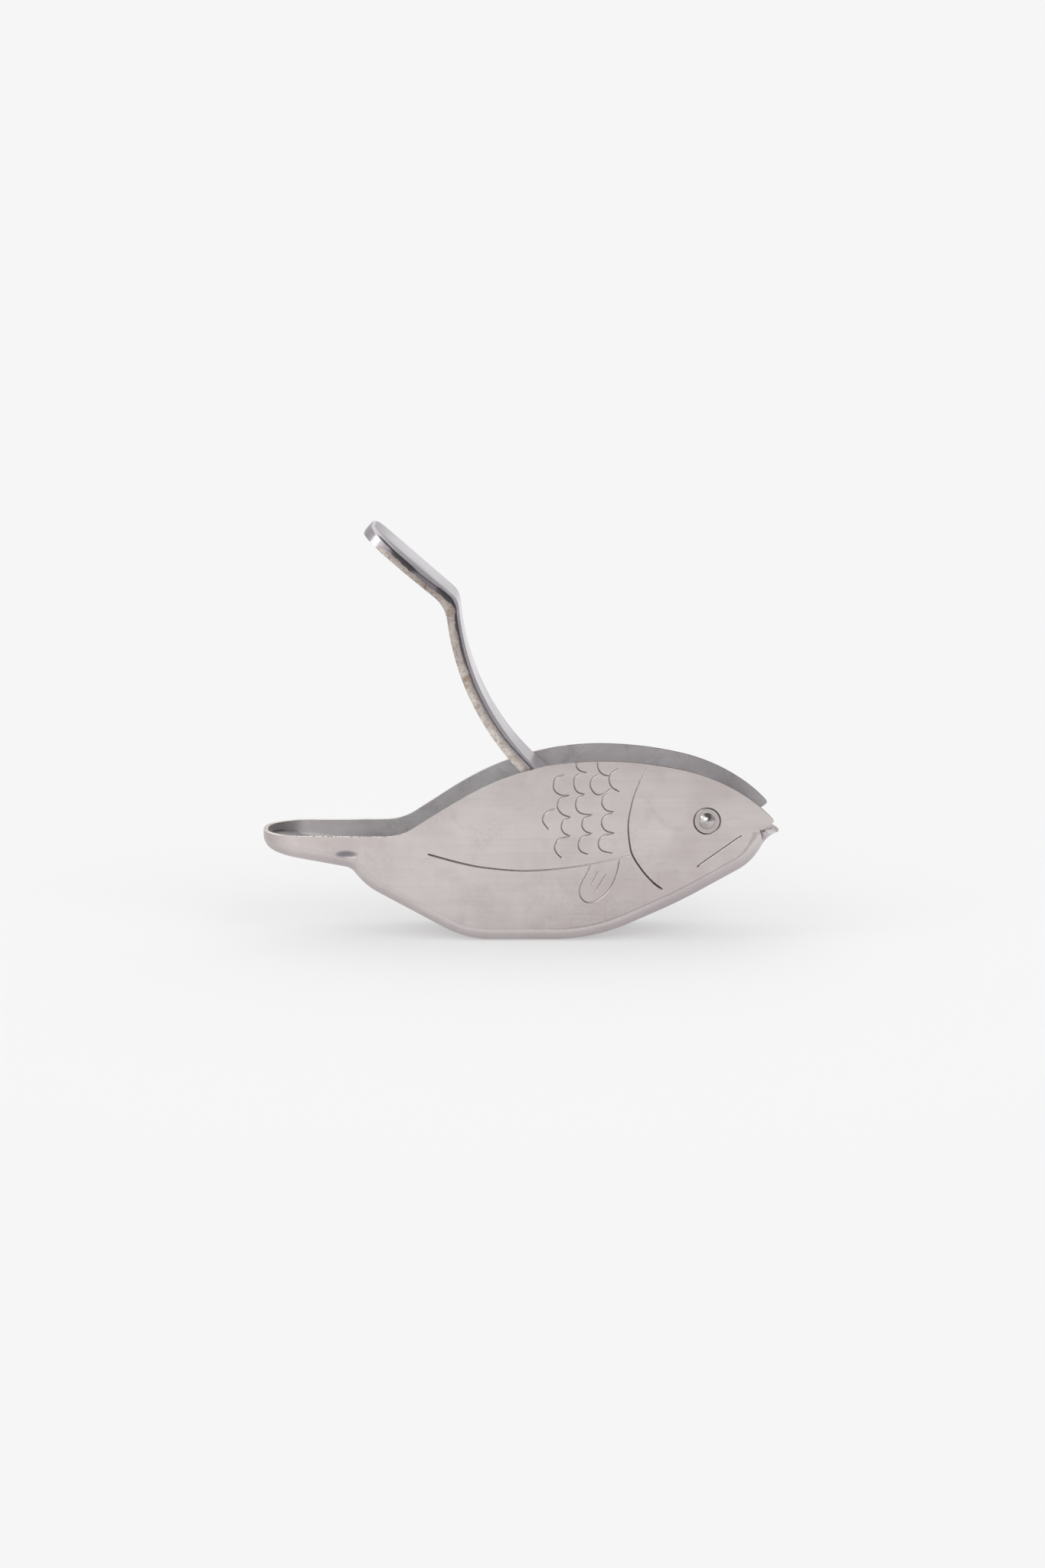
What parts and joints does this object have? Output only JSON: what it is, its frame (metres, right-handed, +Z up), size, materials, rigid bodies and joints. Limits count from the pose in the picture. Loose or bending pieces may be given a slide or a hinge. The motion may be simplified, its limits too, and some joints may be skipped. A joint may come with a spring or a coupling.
{
  "type": "hinged lemon squeezer",
  "caption": "Fish-shaped stainless lemon squeezer: a pressed trough that stands on its belly, and a curved strip lever with a thumb pad hinged on a pin through the eye.",
  "frame": {"origin": "on the flat of the belly, on the middle plane, under the middle of the body", "axes": "+X towards the fish's head and pouring lip, +Y to the far wall, +Z up; the lever's pin runs along Y"},
  "size_m": [0.1172, 0.025, 0.0936],
  "materials": {
    "body_steel": "satin pressed stainless sheet with faint lengthwise brushing",
    "lever_steel": "polished faces, blanked edges with a burnished band and a rougher break",
    "pin_steel": "polished domed ends",
    "spacer_steel": "plain satin washer"
  },
  "bodies": {
    "body": {"body_shell": "body_steel", "hinge_pin": "pin_steel", "near_spacer": "spacer_steel", "far_spacer": "spacer_steel"},
    "lever": {"lever": "lever_steel"}
  },
  "joints": [
    {"name": "lever_hinge", "type": "hinge", "parent": "body", "child": "lever", "pos_m": [0.0408, 0, 0.0278], "axis": [0, -1, 0], "range_deg": [-60, 41.9]}
  ]
}
